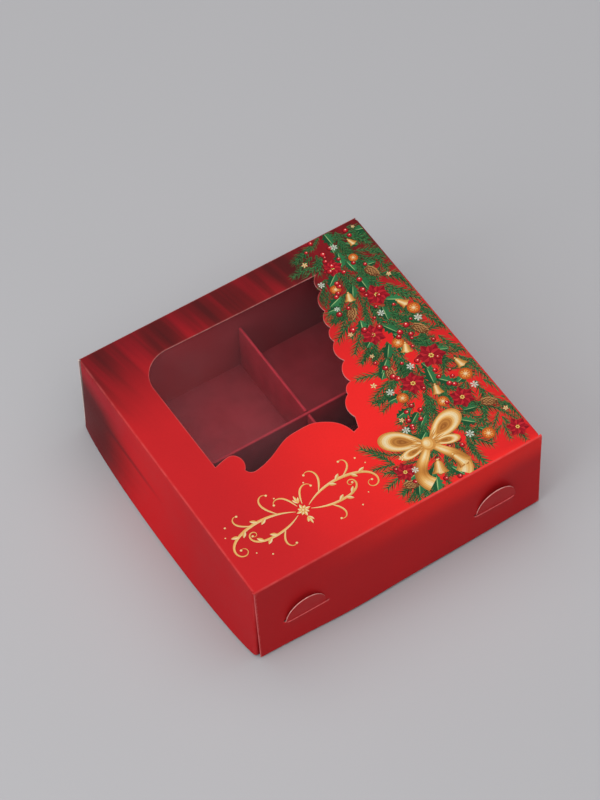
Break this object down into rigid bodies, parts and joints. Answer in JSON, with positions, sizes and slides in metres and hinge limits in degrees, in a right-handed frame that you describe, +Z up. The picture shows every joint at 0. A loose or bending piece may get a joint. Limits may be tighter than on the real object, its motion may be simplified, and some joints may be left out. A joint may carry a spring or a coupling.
{
  "type": "sweet box",
  "caption": "Square folding-carton sweet box: a full-depth lid with a film window and half-moon lock tongues over a raised tray with a crossed divider.",
  "frame": {"origin": "on the table under the middle of the box", "axes": "-Y along the view onto the locked front panel, so the front looks along -Y; +X to the right side wall; +Z up"},
  "size_m": [0.1132, 0.1118, 0.0365],
  "materials": {
    "lid_board": "coated board, printed red, satin",
    "tray_board": "coated board, printed dark red, satin",
    "divider_board": "coated board, printed dark red, satin",
    "window_film": "clear thin film, glossy"
  },
  "bodies": {
    "tray": {"tray_floor": "tray_board", "tray_well_floor": "tray_board", "tray_outer_wall_front": "tray_board", "tray_outer_wall_back": "tray_board", "tray_outer_wall_left": "tray_board", "tray_outer_wall_right": "tray_board", "tray_rim_front": "tray_board", "tray_rim_back": "tray_board", "tray_rim_left": "tray_board", "tray_rim_right": "tray_board", "tray_inner_wall_front": "tray_board", "tray_inner_wall_back": "tray_board", "tray_inner_wall_left": "tray_board", "tray_inner_wall_right": "tray_board", "tray_glue_flap_front_left": "tray_board", "tray_glue_flap_front_right": "tray_board", "tray_glue_flap_back_left": "tray_board", "tray_glue_flap_back_right": "tray_board"},
    "divider": {"divider_lengthwise": "divider_board", "divider_crosswise": "divider_board"},
    "lid_top": {"lid_top_panel": "lid_board", "window_film": "window_film"},
    "lid_front": {"lid_front_panel": "lid_board"},
    "lid_back": {"lid_back_panel": "lid_board"},
    "lid_left": {"lid_left_wall": "lid_board", "lid_flap_front_left": "lid_board", "lid_flap_back_left": "lid_board"},
    "lid_right": {"lid_right_wall": "lid_board", "lid_flap_front_right": "lid_board", "lid_flap_back_right": "lid_board"},
    "tongue_front_left": {"lock_tongue_front_left": "lid_board"},
    "tongue_front_right": {"lock_tongue_front_right": "lid_board"},
    "tongue_back_left": {"lock_tongue_back_left": "lid_board"},
    "tongue_back_right": {"lock_tongue_back_right": "lid_board"}
  },
  "joints": [
    {"name": "lid_lift", "type": "slide", "parent": "tray", "child": "lid_top", "axis": [0, 0, 1], "range_m": [0, 0.06]},
    {"name": "divider_lift", "type": "slide", "parent": "tray", "child": "divider", "axis": [0, 0, 1], "range_m": [0, 0.0075]},
    {"name": "front_panel_fold", "type": "hinge", "parent": "lid_top", "child": "lid_front", "pos_m": [0, -0.053, 0.036], "axis": [-1, 0, 0], "range_deg": [0, 90], "deforming": ["lock_tongue_front_left", "lock_tongue_front_right"]},
    {"name": "back_panel_fold", "type": "hinge", "parent": "lid_top", "child": "lid_back", "pos_m": [0, 0.053, 0.036], "axis": [1, 0, 0], "range_deg": [0, 90], "deforming": ["lock_tongue_back_left", "lock_tongue_back_right"]},
    {"name": "left_wall_fold", "type": "hinge", "parent": "lid_top", "child": "lid_left", "pos_m": [-0.053, 0, 0.036], "axis": [0, 1, 0], "range_deg": [0, 90], "deforming": ["lock_tongue_front_left", "lock_tongue_back_left"]},
    {"name": "right_wall_fold", "type": "hinge", "parent": "lid_top", "child": "lid_right", "pos_m": [0.053, 0, 0.036], "axis": [0, -1, 0], "range_deg": [0, 90], "deforming": ["lock_tongue_front_right", "lock_tongue_back_right"]},
    {"name": "tongue_bend_front_left", "type": "hinge", "parent": "lid_left", "child": "tongue_front_left", "pos_m": [-0.0356, -0.0539, 0.0125], "axis": [1, 0, 0], "range_deg": [0, 60], "stiffness_Nm_per_rad": 0.00002, "springref_deg": -22.92, "deforming": ["lock_tongue_front_left"]},
    {"name": "tongue_bend_front_right", "type": "hinge", "parent": "lid_right", "child": "tongue_front_right", "pos_m": [0.0356, -0.0539, 0.0125], "axis": [1, 0, 0], "range_deg": [0, 60], "stiffness_Nm_per_rad": 0.00002, "springref_deg": -22.92, "deforming": ["lock_tongue_front_right"]},
    {"name": "tongue_bend_back_left", "type": "hinge", "parent": "lid_left", "child": "tongue_back_left", "pos_m": [-0.0356, 0.0539, 0.0125], "axis": [-1, 0, 0], "range_deg": [0, 60], "stiffness_Nm_per_rad": 0.00002, "springref_deg": -22.92, "deforming": ["lock_tongue_back_left"]},
    {"name": "tongue_bend_back_right", "type": "hinge", "parent": "lid_right", "child": "tongue_back_right", "pos_m": [0.0356, 0.0539, 0.0125], "axis": [-1, 0, 0], "range_deg": [0, 60], "stiffness_Nm_per_rad": 0.00002, "springref_deg": -22.92, "deforming": ["lock_tongue_back_right"]}
  ]
}
